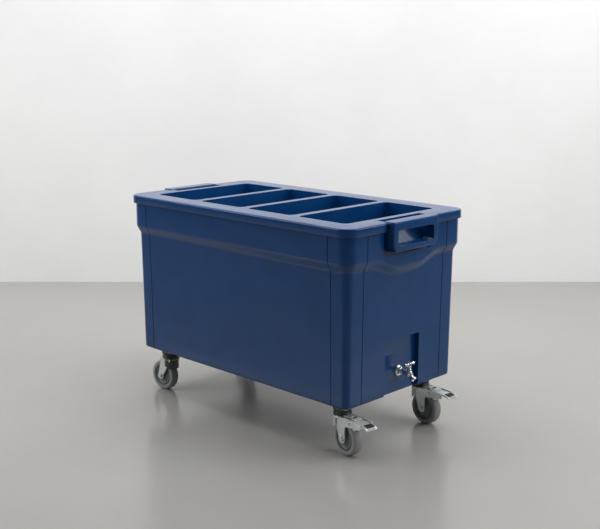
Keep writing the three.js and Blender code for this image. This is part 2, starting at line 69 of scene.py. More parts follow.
def block(low, high):
    bm = bmesh.new()
    bmesh.ops.create_cube(bm, size=1)
    low, high = Vector(low) * MM, Vector(high) * MM
    bmesh.ops.scale(bm, vec=high - low, verts=bm.verts)
    bmesh.ops.translate(bm, vec=(low + high) / 2, verts=bm.verts)
    return bm


def slice_at(bm, point, normal, clear=False):
    bmesh.ops.bisect_plane(
        bm, geom=bm.verts[:] + bm.edges[:] + bm.faces[:], dist=1e-7,
        plane_co=Vector(point) * MM, plane_no=normal, clear_outer=clear)


def round_edges(bm, edges, radius, segments):
    bmesh.ops.bevel(bm, geom=edges, offset=radius * MM, affect="EDGES", segments=segments,
                    profile=0.5, material=-1, clamp_overlap=True)


def edges_along(bm, axis):
    return [e for e in bm.edges
            if abs((e.verts[0].co - e.verts[1].co).normalized()[axis]) > 0.95]


def edges_near(bm, test):
    return [e for e in bm.edges if all(test(v.co / MM) for v in e.verts)]


def sharp_edges(bm, degrees):
    limit = math.radians(degrees)
    return [e for e in bm.edges if len(e.link_faces) == 2 and e.calc_face_angle(0) > limit]


def tidy(bm, face_out=False):
    bmesh.ops.remove_doubles(bm, verts=bm.verts, dist=WELD)
    if face_out:
        bmesh.ops.recalc_face_normals(bm, faces=bm.faces)
    return bm


def turned(profile, steps=64):
    """Round piece about Z from (radius, height); a profile off the axis closes on itself."""
    bm = bmesh.new()
    verts = [bm.verts.new((r * MM, 0, z * MM)) for r, z in profile]
    pairs = list(zip(verts, verts[1:]))
    if profile[0][0] > 0:
        pairs.append((verts[-1], verts[0]))
    edges = [bm.edges.new(pair) for pair in pairs]
    bmesh.ops.spin(bm, geom=verts + edges, cent=(0, 0, 0), axis=(0, 0, 1),
                   angle=math.tau, steps=steps, use_merge=True)
    return tidy(bm, face_out=True)


def prism(points, low, high, plane="xz"):
    """Flat outline pushed through from low to high across its plane."""
    bm = bmesh.new()
    across = {"xz": 1, "yz": 0, "xy": 2}[plane]
    corners = []
    for a, b in points:
        corner = [a, b]
        corner.insert(across, low)
        corners.append(bm.verts.new(Vector(corner) * MM))
    face = bm.faces.new(corners)
    made = bmesh.ops.extrude_face_region(bm, geom=[face])
    push = Vector((0, 0, 0))
    push[across] = (high - low) * MM
    far_side = [g for g in made["geom"] if isinstance(g, bmesh.types.BMVert)]
    bmesh.ops.translate(bm, vec=push, verts=far_side)
    return tidy(bm, face_out=True)


def rod(radius, low, high, steps, chamfer=0):
    c = min(chamfer, radius / 3)
    return turned([(0, low), (radius - c, low), (radius, low + c), (radius, high - c),
                   (radius - c, high), (0, high)], steps)


def hexagon(across, low, high):
    """Bolt head or nut with its corners turned off."""
    bm = bmesh.new()
    to_corner = across / ROOT_3 * MM
    bmesh.ops.create_cone(bm, cap_ends=True, segments=6, radius1=to_corner, radius2=to_corner,
                          depth=(high - low) * MM)
    bmesh.ops.translate(bm, vec=(0, 0, (low + high) / 2 * MM), verts=bm.verts)
    flat, wide, slope = across * 0.5, across * 0.6, across * 0.07
    trim = turned([(0, low), (flat, low), (wide, low + slope), (wide, high - slope),
                   (flat, high), (0, high)], 48)
    return joined(bm, trim, "INTERSECT")


def moved(bm, matrix):
    bmesh.ops.transform(bm, matrix=matrix, verts=bm.verts)
    return bm


def place(x=0, y=0, z=0):
    return Matrix.Translation(Vector((x, y, z)) * MM)


def turn(degrees, axis):
    return Matrix.Rotation(math.radians(degrees), 4, axis)


def joined(first, second, how="UNION"):
    """first with second added, cut away or kept in common."""
    held = []
    for bm in (first, second):
        mesh = bpy.data.meshes.new("working")
        bm.to_mesh(mesh)
        bm.free()
        obj = bpy.data.objects.new("working", mesh)
        bpy.context.scene.collection.objects.link(obj)
        held.append(obj)
    step = held[0].modifiers.new("step", "BOOLEAN")
    step.operation, step.solver, step.object = how, "EXACT", held[1]
    ready = held[0].evaluated_get(bpy.context.evaluated_depsgraph_get())
    result = bpy.data.meshes.new_from_object(ready)
    bm = bmesh.new()
    bm.from_mesh(result)
    bpy.data.meshes.remove(result)
    for obj in held:
        mesh = obj.data
        bpy.data.objects.remove(obj)
        bpy.data.meshes.remove(mesh)
    return tidy(bm)


def without(bm, *cutters):
    for cutter in cutters:
        bm = joined(bm, cutter, "DIFFERENCE")
    return bm


def together(bm, *others):
    for other in others:
        bm = joined(bm, other)
    return bm


def piece(name, bm, finish, body, nodes, at, soft=0, segments=2, limit=40, smooth=38):
    """Finishes a mesh as one named piece riding on a CAD body, in place of CAD nodes."""
    tidy(moved(bm, at))
    mesh = bpy.data.meshes.new(name)
    bm.to_mesh(mesh)
    bm.free()
    mesh.polygons.foreach_set("use_smooth", [True] * len(mesh.polygons))
    obj = bpy.data.objects.new(name, mesh)
    bpy.context.scene.collection.objects.link(obj)
    mesh.materials.append(FINISHES[finish])
    if soft:
        edge = obj.modifiers.new("soft_edges", "BEVEL")
        edge.width, edge.segments = soft * MM, segments
        edge.limit_method, edge.angle_limit = "ANGLE", math.radians(limit)
        edge.use_clamp_overlap = True
        edge.harden_normals = True
        edge.miter_outer = "MITER_ARC"
    else:
        mesh.set_sharp_from_angle(angle=math.radians(smooth))
    if nodes:
        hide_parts(*nodes)
    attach(obj, body)


# ---- finishes ----
def group(name, inputs, outputs):
    tree = bpy.data.node_groups.new(name, "ShaderNodeTree")
    for label, kind, default in inputs:
        socket = tree.interface.new_socket(label, in_out="INPUT", socket_type=kind)
        if default is not None:
            socket.default_value = default
    for label, kind in outputs:
        tree.interface.new_socket(label, in_out="OUTPUT", socket_type=kind)
    return tree, tree.nodes.new("NodeGroupInput"), tree.nodes.new("NodeGroupOutput")


def noise(tree, scale, detail, roughness, vector):
    node = tree.nodes.new("ShaderNodeTexNoise")
    node.inputs["Scale"].default_value = scale
    node.inputs["Detail"].default_value = detail
    node.inputs["Roughness"].default_value = roughness
    tree.links.new(vector, node.inputs["Vector"])
    return node.outputs["Fac"]


def spread(tree, value, low, high, to_low=0.0, to_high=1.0):
    node = tree.nodes.new("ShaderNodeMapRange")
    for label, number in zip(("From Min", "From Max", "To Min", "To Max"),
                             (low, high, to_low, to_high)):
        node.inputs[label].default_value = number
    tree.links.new(value, node.inputs["Value"])
    return node.outputs["Result"]


def maths(tree, how, a, b):
    node = tree.nodes.new("ShaderNodeMath")
    node.operation = how
    for socket, value in zip(node.inputs, (a, b)):
        if isinstance(value, (int, float)):
            socket.default_value = value
        else:
            tree.links.new(value, socket)
    return node.outputs[0]


def mixed(tree, factor, a, b):
    node = tree.nodes.new("ShaderNodeMix")
    node.data_type = "RGBA"
    tree.links.new(factor, node.inputs[0])
    for socket, value in zip((node.inputs[6], node.inputs[7]), (a, b)):
        if isinstance(value, tuple):
            socket.default_value = (*value, 1)
        else:
            tree.links.new(value, socket)
    return node.outputs[2]


def mapped(tree, vector, scale):
    node = tree.nodes.new("ShaderNodeMapping")
    node.inputs["Scale"].default_value = scale
    tree.links.new(vector, node.inputs["Vector"])
    return node.outputs["Vector"]


def make_moulding():
    """Shallow waves and fine grain that a moulded or pressed skin has."""
    tree, given, out = group(
        "moulding", [("Position", "NodeSocketVector", None), ("Wave", "NodeSocketFloat", 1.0),
                     ("Grain", "NodeSocketFloat", 1.0)],
        [("Height", "NodeSocketFloat"), ("Cloud", "NodeSocketFloat")])
    wave = noise(tree, 5.5, 2, 0.4, given.outputs["Position"])
    grain = noise(tree, 900, 1, 0.5, given.outputs["Position"])
    ripple = noise(tree, 60, 2, 0.5, given.outputs["Position"])
    high = maths(tree, "MULTIPLY", wave, given.outputs["Wave"])
    fine = maths(tree, "MULTIPLY", maths(tree, "ADD", maths(tree, "MULTIPLY", grain, 0.001),
                                         maths(tree, "MULTIPLY", ripple, 0.012)),
                 given.outputs["Grain"])
    tree.links.new(maths(tree, "ADD", high, fine), out.inputs["Height"])
    tree.links.new(spread(tree, noise(tree, 9, 5, 0.6, given.outputs["Position"]), 0.35, 0.65),
                   out.inputs["Cloud"])
    return tree


def make_wear():
    """Fine scuffs, and dust that settles on what faces up."""
    tree, given, out = group(
        "wear", [("Position", "NodeSocketVector", None)],
        [("Scuff", "NodeSocketFloat"), ("Dust", "NodeSocketFloat")])
    streaks = noise(tree, 8, 4, 0.65, mapped(tree, given.outputs["Position"], (4, 4, 40)))
    patch = spread(tree, noise(tree, 4, 2, 0.5, given.outputs["Position"]), 0.45, 0.75)
    tree.links.new(maths(tree, "MULTIPLY", spread(tree, streaks, 0.5, 0.8), patch),
                   out.inputs["Scuff"])
    facing = tree.nodes.new("ShaderNodeNewGeometry")
    parts = tree.nodes.new("ShaderNodeSeparateXYZ")
    tree.links.new(facing.outputs["Normal"], parts.inputs[0])
    up = spread(tree, parts.outputs["Z"], 0.6, 1.0)
    speck = spread(tree, noise(tree, 45, 6, 0.7, given.outputs["Position"]), 0.45, 0.75)
    tree.links.new(maths(tree, "MULTIPLY", up, speck), out.inputs["Dust"])
    return tree


def make_spangle():
    """Crystal patches of a zinc coat."""
    tree, given, out = group(
        "spangle", [("Position", "NodeSocketVector", None)],
        [("Crystal", "NodeSocketFloat"), ("Cloud", "NodeSocketFloat")])
    cells = tree.nodes.new("ShaderNodeTexVoronoi")
    cells.inputs["Scale"].default_value = 260
    tree.links.new(given.outputs["Position"], cells.inputs["Vector"])
    parts = tree.nodes.new("ShaderNodeSeparateColor")
    tree.links.new(cells.outputs["Color"], parts.inputs[0])
    tree.links.new(parts.outputs[0], out.inputs["Crystal"])
    tree.links.new(spread(tree, noise(tree, 40, 4, 0.6, given.outputs["Position"]), 0.35, 0.7),
                   out.inputs["Cloud"])
    return tree


MOULDING = make_moulding()
WEAR = make_wear()
SPANGLE = make_spangle()


def start(name, colour, metal, rough, **constants):
    material = bpy.data.materials.new(name)
    material.use_nodes = True
    tree = material.node_tree
    shader = tree.nodes["Principled BSDF"]
    shader.inputs["Base Color"].default_value = (*colour, 1)
    shader.inputs["Metallic"].default_value = metal
    shader.inputs["Roughness"].default_value = rough
    for label, value in constants.items():
        shader.inputs[label.replace("_", " ")].default_value = value
    where = tree.nodes.new("ShaderNodeTexCoord").outputs["Object"]
    return material, tree, shader, where


def placed(tree, kind, where, **values):
    node = tree.nodes.new("ShaderNodeGroup")
    node.node_tree = kind
    tree.links.new(where, node.inputs["Position"])
    for label, value in values.items():
        node.inputs[label].default_value = value
    return node


def bumped(tree, shader, height, depth):
    node = tree.nodes.new("ShaderNodeBump")
    node.inputs["Distance"].default_value = depth * MM
    node.inputs["Strength"].default_value = 1
    tree.links.new(height, node.inputs["Height"])
    tree.links.new(node.outputs["Normal"], shader.inputs["Normal"])


def moulded_blue():
    material, tree, shader, where = start(
        "blue_plastic", (0.001, 0.042, 0.155), 0, 0.22, Specular_IOR_Level=0.32,
        Coat_Weight=0.15, Coat_Roughness=0.09)
    skin = placed(tree, MOULDING, where, Wave=1.0, Grain=1.0)
    worn = placed(tree, WEAR, where)
    base = mixed(tree, skin.outputs["Cloud"], (0.0012, 0.039, 0.146), (0.002, 0.045, 0.165))
    scuffed = mixed(tree, maths(tree, "MULTIPLY", worn.outputs["Scuff"], 0.1), base,
                    (0.02, 0.07, 0.18))
    dusty = mixed(tree, maths(tree, "MULTIPLY", worn.outputs["Dust"], 0.04), scuffed,
                  (0.3, 0.3, 0.29))
    tree.links.new(dusty, shader.inputs["Base Color"])
    gloss = maths(tree, "ADD", spread(tree, skin.outputs["Cloud"], 0, 1, 0.2, 0.25),
                  maths(tree, "MULTIPLY", worn.outputs["Scuff"], 0.04))
    tree.links.new(gloss, shader.inputs["Roughness"])
    bumped(tree, shader, skin.outputs["Height"], 3.0)
    return material


def zinc_plate():
    material, tree, shader, where = start("zinc_steel", (0.66, 0.69, 0.69), 0.55, 0.34)
    coat = placed(tree, SPANGLE, where)
    worn = placed(tree, WEAR, where)
    base = mixed(tree, coat.outputs["Crystal"], (0.62, 0.65, 0.65), (0.74, 0.77, 0.76))
    dull = mixed(tree, maths(tree, "MULTIPLY", coat.outputs["Cloud"], 0.3), base,
                 (0.52, 0.54, 0.52))
    tree.links.new(dull, shader.inputs["Base Color"])
    rough = maths(tree, "ADD", spread(tree, coat.outputs["Cloud"], 0, 1, 0.28, 0.42),
                  maths(tree, "MULTIPLY", worn.outputs["Scuff"], 0.15))
    tree.links.new(rough, shader.inputs["Roughness"])
    bumped(tree, shader, coat.outputs["Cloud"], 0.15)
    return material


# Dark steel used as painted shade: it darkens the caster tops, the ball races and the unbraked
# casters' front skirts, which sit in the shadow under the tub.
def dark_steel():
    material, tree, shader, where = start("swivel_steel", (0.07, 0.08, 0.075), 0.8, 0.4)
    coat = placed(tree, SPANGLE, where)
    base = mixed(tree, coat.outputs["Cloud"], (0.05, 0.058, 0.055), (0.12, 0.13, 0.12))
    tree.links.new(base, shader.inputs["Base Color"])
    tree.links.new(spread(tree, coat.outputs["Cloud"], 0, 1, 0.3, 0.5),
                   shader.inputs["Roughness"])
    return material


def chrome_plate():
    material, tree, shader, where = start("chromed_brass", (0.75, 0.77, 0.78), 1, 0.07)
    worn = placed(tree, WEAR, where)
    skin = placed(tree, MOULDING, where, Wave=0.2, Grain=0.5)
    base = mixed(tree, skin.outputs["Cloud"], (0.72, 0.74, 0.76), (0.8, 0.81, 0.81))
    tree.links.new(base, shader.inputs["Base Color"])
    tree.links.new(maths(tree, "ADD", spread(tree, skin.outputs["Cloud"], 0, 1, 0.05, 0.1),
                         maths(tree, "MULTIPLY", worn.outputs["Scuff"], 0.2)),
                   shader.inputs["Roughness"])
    bumped(tree, shader, skin.outputs["Height"], 0.5)
    return material


def grey_rubber():
    material, tree, shader, where = start("tyre_rubber", (0.27, 0.27, 0.275), 0, 0.62)
    skin = placed(tree, MOULDING, where, Wave=0.0, Grain=4.0)
    worn = placed(tree, WEAR, where)
    base = mixed(tree, skin.outputs["Cloud"], (0.24, 0.241, 0.245), (0.3, 0.301, 0.305))
    dusty = mixed(tree, maths(tree, "MULTIPLY", worn.outputs["Scuff"], 0.35), base,
                  (0.27, 0.265, 0.25))
    tree.links.new(dusty, shader.inputs["Base Color"])
    tree.links.new(spread(tree, skin.outputs["Cloud"], 0, 1, 0.55, 0.72),
                   shader.inputs["Roughness"])
    bumped(tree, shader, skin.outputs["Height"], 2.0)
    return material


def plain_moulding(name, dark, light, rough, depth):
    material, tree, shader, where = start(name, dark, 0, rough)
    skin = placed(tree, MOULDING, where, Wave=0.0, Grain=3.0)
    tree.links.new(mixed(tree, skin.outputs["Cloud"], dark, light), shader.inputs["Base Color"])
    tree.links.new(spread(tree, skin.outputs["Cloud"], 0, 1, rough - 0.06, rough + 0.06),
                   shader.inputs["Roughness"])
    bumped(tree, shader, skin.outputs["Height"], depth)
    return material


FINISHES = {
    "blue_plastic": moulded_blue(),
    "zinc_steel": zinc_plate(),
    "swivel_steel": dark_steel(),
    "chromed_brass": chrome_plate(),
    "tyre_rubber": grey_rubber(),
    "hub_plastic": plain_moulding("hub_plastic", (0.14, 0.155, 0.15), (0.175, 0.19, 0.185),
                                  0.45, 1.5),
    "pedal_rubber": plain_moulding("pedal_rubber", (0.01, 0.01, 0.011), (0.02, 0.02, 0.021),
                                   0.55, 2.0),
}


# ---- tub skin ----
WALL = 5
SEAM_X, SEAM_Y = 393, 174
SEAM_DEPTH, SEAM_HALF = 1.7, 0.7
SEAM_CUTS = (-5, -1.5, -0.6, 0.6, 1.5, 5)
CUTS_X, CUTS_Y = range(-360, 361, 40), range(-160, 161, 8)
END_FROM = 400
HAIR = 0.01
COLLAR = (RIM_HALF_X - 8, RIM_HALF_Y - 8, 37)
# how far the skin stands in from the collar face at each height
LEVELS = [
    (150, 25), (150.5, 22.4), (151.8, 19.9), (154, 18), (158, 17), (190, 16.6), (250, 16.1),
    (320, 15.3), (400, 14.4), (460, 13.5), (500, 13), (520, 12.6), (529, 12.4), (532, 12.1),
    (534.5, 11.3), (537, 10.1), (542, 7.3), (548, 3.9), (552, 1.9), (554.5, 0.8), (557, 0.2),
    (561, 0), (575, 0), (600, 0), (625, 0), (649.7, 0),
]
POCKET_HALF, POCKET_FLOOR = 107, 562
POCKET_BACK, POCKET_FOOT = 427, 456.7
RECESS_X, RECESS_HALF, RECESS_TOP = 436, 76, 312
TAP_Y, TAP_Z, TAP_HOLE = 4, 210, 11
PAST_END, PAST_TOP = 540, 700


def skin_inset(z):
    for (z0, a), (z1, b) in zip(LEVELS, LEVELS[1:]):
        if z <= z1 + 1e-4:
            return a + (b - a) * max(0, z - z0) / (z1 - z0)
    return 0


def outward(x, y, half_x, half_y, radius):
    """Direction out of a rounded rectangle at a point on its outline."""
    dx, dy = abs(x) - (half_x - radius), abs(y) - (half_y - radius)
    way = Vector((max(dx, 0), max(dy, 0)))
    if dx > 0 and dy > 0:
        way.normalize()
    else:
        way = Vector((1, 0)) if dx > dy else Vector((0, 1))
    return Vector((math.copysign(way.x, x), math.copysign(way.y, y)))


def ease(t):
    t = min(1, max(0, t))
    return t * t * (3 - 2 * t)


def collar_dip(x, y, z):
    """The step drops in an arc below each grip."""
    if abs(x) < END_FROM:
        return 0
    drop, half, fade = 29, 150, 105
    here = drop * ease((half - abs(y)) / fade)
    return here * ease((z - 440) / 75) * ease((628 - z) / 55)


def seam_depth(x, y):
    along_side = abs(y) > RIM_HALF_Y - 20
    gap = abs(abs(x) - SEAM_X) if along_side else abs(abs(y) - SEAM_Y)
    return SEAM_DEPTH if gap < SEAM_HALF else 0


def wall_sag(x, y, z):
    """Large flat walls of a moulded tub draw in a little at their middles."""
    high = ease((z - 170) / 200) * ease((520 - z) / 160)
    side = ease((SEAM_X - 20 - abs(x)) / 260) if abs(y) > abs(x) * 0.6 - 20 else 0
    end = ease((SEAM_Y - 20 - abs(y)) / 120) if abs(x) > END_FROM else 0
    deepest = 1.6
    return deepest * high * max(side, end)


def skin_block(shrink, low, high, fine):
    """Solid tub shape; fine adds the seams, the sag and the cuts that carry them."""
    half_x, half_y, radius = COLLAR[0] - shrink, COLLAR[1] - shrink, COLLAR[2] - shrink * 0.7
    bm = block((-half_x, -half_y, low), (half_x, half_y, high))
    round_edges(bm, edges_along(bm, 2), radius, 14 if fine else 6)
    for z, _ in LEVELS:
        if low + HAIR < z < high - HAIR:
            slice_at(bm, (0, 0, z), (0, 0, 1))
    for y in CUTS_Y:
        slice_at(bm, (0, y, 0), (0, 1, 0))
    if fine:
        for x in CUTS_X:
            slice_at(bm, (x, 0, 0), (1, 0, 0))
        for side in (-1, 1):
            for off in SEAM_CUTS:
                slice_at(bm, (side * SEAM_X + off, 0, 0), (1, 0, 0))
                slice_at(bm, (0, side * SEAM_Y + off, 0), (0, 1, 0))
    for v in bm.verts:
        x, y, z = v.co / MM
        if abs(x) < half_x - radius - HAIR and abs(y) < half_y - HAIR:
            continue
        if abs(x) < half_x - HAIR and abs(y) < half_y - radius - HAIR:
            continue
        way = outward(x, y, half_x, half_y, radius)
        depth = skin_inset(z)
        if fine:
            depth += seam_depth(x, y) + wall_sag(x, y, z)
        v.co.x -= way.x * depth * MM
        v.co.y -= way.y * depth * MM
        v.co.z -= collar_dip(x, y, z) * MM
    return bm


def pocket_cutter(side, grow):
    """Space behind and below a grip, its back sloping out towards its foot."""
    back, foot = POCKET_BACK - grow, POCKET_FOOT - grow
    outline = [(back, PAST_TOP), (back, RIM_Z - 15), (foot, 586), (foot, 500), (PAST_END, 500),
               (PAST_END, PAST_TOP)]
    half, floor = POCKET_HALF + grow, POCKET_FLOOR - grow
    bm = prism([(side * x, z) for x, z in outline], -150, 150)
    front = block((side * 483 - 70, -half, floor), (side * 483 + 70, half, 720))
    lower = [e for e in edges_along(front, 0) if e.verts[0].co.z < 650 * MM]
    round_edges(front, lower, 16, 8)
    return joined(bm, front, "INTERSECT")


def recess_cutter(grow):
    bm = block((RECESS_X - grow, -RECESS_HALF - grow, 100),
               (PAST_END, RECESS_HALF + grow, RECESS_TOP + grow))
    top = [e for e in edges_along(bm, 1)
           if e.verts[0].co.z > 300 * MM and e.verts[0].co.x < 500 * MM]
    round_edges(bm, top, 2.5, 3)
    return bm


def tap_hole():
    return moved(rod(TAP_HOLE, 360, 450, 40), place(0, TAP_Y, TAP_Z) @ turn(90, "Y"))


def tub_skin():
    hollow = skin_block(WALL, BASE_Z + WALL, 660, fine=False)
    hollow = without(hollow, pocket_cutter(1, WALL), pocket_cutter(-1, WALL), recess_cutter(WALL))
    outside = skin_block(0, BASE_Z, LEVELS[-1][0], fine=True)
    return without(outside, hollow, pocket_cutter(1, 0), pocket_cutter(-1, 0), recess_cutter(0),
                   tap_hole())


# ---- deck and wells ----
WELL_HALF_Y, WEB, SPAN = 193, 25, 810
WELL_WIDTH = (SPAN - 3 * WEB) / 4
WELL_PITCH = WELL_WIDTH + WEB
WELL_FLOOR, WELL_RADIUS, FOOT_RADIUS = 185, 17, 10
DRAFT, DRAFT_HEIGHT = 6, 456
DECK_RADIUS, LAP, LAP_RADIUS = 44, 7.7, 37.3
PORT_HALF, PORT_REACH = 15, 30


def well_cutter(centre):
    half = WELL_WIDTH / 2
    bm = block((centre - half, -WELL_HALF_Y, WELL_FLOOR), (centre + half, WELL_HALF_Y, 670))
    round_edges(bm, edges_along(bm, 2), WELL_RADIUS, 9)
    round_edges(bm, edges_near(bm, lambda p: p.z < WELL_FLOOR + 1), FOOT_RADIUS, 4)
    for v in bm.verts:
        x, _, z = v.co / MM
        draw = DRAFT * max(0, RIM_Z - 4 - z) / DRAFT_HEIGHT
        v.co.x = (centre + (x - centre) * (1 - draw / half)) * MM
        v.co.y *= 1 - draw / WELL_HALF_Y
    return bm


def deck_and_wells():
    plate = block((-RIM_HALF_X, -RIM_HALF_Y, FLANGE_Z), (RIM_HALF_X, RIM_HALF_Y, RIM_Z))
    round_edges(plate, edges_along(plate, 2), DECK_RADIUS, 16)
    round_edges(plate, edges_near(plate, lambda p: p.z > RIM_Z - 0.1), 4.5, 4)
    round_edges(plate, edges_near(plate, lambda p: p.z < FLANGE_Z + 0.1), 1.2, 2)
    under = block((-RIM_HALF_X + LAP, -RIM_HALF_Y + LAP, 600),
                  (RIM_HALF_X - LAP, RIM_HALF_Y - LAP, RIM_Z - WALL))
    round_edges(under, edges_along(under, 2), LAP_RADIUS, 16)
    tank = block((-SPAN / 2 - WALL, -WELL_HALF_Y - WALL, WELL_FLOOR - WALL),
                 (SPAN / 2 + WALL, WELL_HALF_Y + WALL, RIM_Z - 1))
    round_edges(tank, edges_along(tank, 2), WELL_RADIUS + WALL, 8)
    for v in tank.verts:
        if v.co.z < 300 * MM:
            v.co.x *= 1 - DRAFT / (SPAN / 2)
            v.co.y *= 1 - DRAFT / WELL_HALF_Y
    bm = together(without(plate, under), tank)
    for i in range(4):
        bm = without(bm, well_cutter(-SPAN / 2 + WELL_WIDTH / 2 + i * WELL_PITCH))
    for i in (-1, 0, 1):
        web = i * WELL_PITCH
        port = block((web - PORT_REACH, -PORT_HALF, WELL_FLOOR + 0.5),
                     (web + PORT_REACH, PORT_HALF, WELL_FLOOR + 15))
        round_edges(port, edges_along(port, 0), 5, 4)
        bm = without(bm, port)
    for side in (-1, 1):
        low, high = sorted((side * POCKET_BACK, side * 520))
        bm = without(bm, block((low, -POCKET_HALF, 600), (high, POCKET_HALF, PAST_TOP)))
    return without(bm, tap_hole())


# ---- end grips ----
def end_grip():
    """Block with a hand window, hung below a plate that bridges the notch in the rim."""
    back, front = 457, 493
    face = [(-85, 574), (85, 574), (97, 589), (97, 657), (-97, 657), (-97, 589)]
    handle = prism(face, back, front, "yz")
    rim = [e for e in edges_along(handle, 1) + sharp_edges(handle, 20)
           if min(v.co.x for v in e.verts) > (front - 3) * MM]
    round_edges(handle, list(set(rim)), 3.5, 4)
    window = block((440, -78, 589), (520, 78, 633))
    round_edges(window, edges_along(window, 0), 8, 6)
    ear = 106.7
    plate = prism([(427.3, -ear), (475, -ear), (488, -96), (488, 96), (475, ear), (427.3, ear)],
                  650, 655, "xy")
    slot = block((400, -92, 600), (454, 92, PAST_TOP))
    return without(together(handle, without(plate, slot)), window)


piece("skin_of_tub", tub_skin(), "blue_plastic", "tub", ["tub_shell"], TUB,
      soft=1.6, segments=3, limit=48)
piece("deck_with_wells", deck_and_wells(), "blue_plastic", "tub",
      ["deck_liner", "web_west", "web_middle", "web_east"], TUB, soft=3.0, segments=4, limit=48)
for side, name in ((1, "east"), (-1, "west")):
    piece(f"hand_grip_{name}", end_grip(), "blue_plastic", "tub", [f"grip_{name}"],
          TUB @ turn(0 if side > 0 else 180, "Z"), soft=1.2, segments=3, limit=40)


# ---- drain tap, drawn along its own axis and then laid towards the end of the tub ----
STEM = (JOINTS["tap_turn"]["pos_m"][0] - MIDDLE.x) / MM
ALONG = place(0, TAP_Y, TAP_Z) @ turn(90, "Y")


def tap_washer():
    low = RECESS_X + 0.3
    return turned([(10.6, low), (16, low), (16.4, low + 0.6), (16.4, low + 2), (15.6, low + 2.8),
                   (13.8, low + 3.4), (13, low + 4.3), (10.6, low + 4.3)], 56)


def tap_casting():
    wall = RECESS_X
    barrel = turned([
        (0, 387.6), (9.6, 387.6), (10.2, 388.4), (10.2, wall + 4), (8.4, wall + 5),
        (8.4, wall + 12), (9.4, wall + 13), (9.4, wall + 15), (8, wall + 17), (7.4, wall + 24),
        (8, STEM - 4), (8.2, STEM + 5), (7, STEM + 7), (0, STEM + 7)], 48)
    collar = moved(hexagon(21, wall + 5, wall + 11), turn(30, "Z"))
    bonnet = moved(turned([
        (0, -9), (7.6, -9), (9, -7), (9.2, 4), (8.2, 6), (7, 8), (7, 12), (6.4, 13), (5.6, 15),
        (5.6, 18.6), (4.8, 19), (0, 19)], 48), place(STEM, TAP_Y, TAP_Z))
    spout = turned([
        (0, 0), (7.6, 0), (7.2, 8), (6.6, 15), (7, 17), (8.6, 19), (8.8, 20), (8.8, 23.6),
        (8.2, 24.6), (5.8, 24.8), (5.2, 23.6), (5.2, 10), (0, 10)], 48)
    moved(spout, place(STEM, TAP_Y, TAP_Z) @ turn(131, "Y"))
    return together(moved(together(barrel, collar), ALONG), bonnet, spout)


def tap_handle():
    hub = turned([(0, 19.3), (6.4, 19.3), (7, 20), (7, 24), (6, 26), (5.8, 29), (4.6, 31),
                  (0, 31.4)], 40)
    bar = turned([
        (0, -21), (3.4, -20.8), (4.6, -19.4), (4.8, -17.6), (3.9, -15.8), (3.2, -12), (3.4, -6),
        (4.2, 0), (3.4, 6), (3.2, 12), (3.9, 15.8), (4.8, 17.6), (4.6, 19.4), (3.4, 20.8),
        (0, 21)], 32)
    moved(bar, place(0, 0, 27) @ turn(-90, "X"))
    return moved(together(hub, bar), place(STEM, TAP_Y, TAP_Z))


def tap_locking_nut():
    nut = moved(hexagon(26, 391.1, 398.6), turn(30, "Z"))
    return moved(without(nut, rod(10.5, 380, 405, 40)), ALONG)


piece("tap_washer", moved(tap_washer(), ALONG), "chromed_brass", "tub", ["tap_flange"], TUB)
piece("tap_casting", tap_casting(), "chromed_brass", "tub", ["tap_body"], TUB,
      soft=0.5, segments=2, limit=45)
piece("tap_locking_nut", tap_locking_nut(), "chromed_brass", "tub", ["tap_lock_nut"], TUB)
piece("tap_handle_bar", tap_handle(), "chromed_brass", "tap_handle", ["tap_lever"], TUB,
      soft=0.4, segments=2, limit=45)


# ---- casters, each drawn about its swivel axis with the wheel trailing towards +X ----
TRAIL, AXLE_Z, HINGE = 26, 50, (29, 105)
LEG_INNER, SHEET = 19.5, 3
CROWN_Z, CROWN_R = 113, 27
AXLE_BORE, HINGE_BORE, LEVER_BORE = 4.9, 3.4, 3.1
BOSS_R, BOSS_STEPS = 12, 12
BOLT_SPOTS = {"ws": (-37, -29), "wn": (-37, 29), "es": (37, -29), "en": (37, 29)}


def top_plate():
    plate = block((-47.5, -40, 146.7), (47.5, 40, 149.7))
    round_edges(plate, edges_along(plate, 2), 8, 6)
    cup = turned([
        (0, 126), (24, 126), (25.4, 126.6), (27.4, 130), (28, 132), (28, 139), (28.8, 142),
        (31, 145), (34, 147), (0, 147)], 64)
    bm = together(plate, cup)
    holes = [moved(rod(4.4, 140, 155, 20), place(x, y)) for x, y in BOLT_SPOTS.values()]
    return without(bm, *holes)


def plate_bolt():
    head = hexagon(13, 141, 145.4)
    washer = turned([(0, 145.2), (7, 145.2), (7.4, 145.5), (7.4, 146.2), (7, 146.5),
                     (0, 146.5)], 32)
    shank = rod(3.9, 146, 149.6, 20, 0.3)
    return together(head, washer, shank)


def ball_race():
    return turned([
        (0, 113.3), (25, 113.3), (26.4, 114), (27, 115.4), (26.4, 116.8), (25.2, 117.4),
        (25.2, 118.2), (26.2, 119), (26.4, 121.4), (25.4, 123), (24.2, 123.6), (24, 125.7),
        (0, 125.7)], 64)


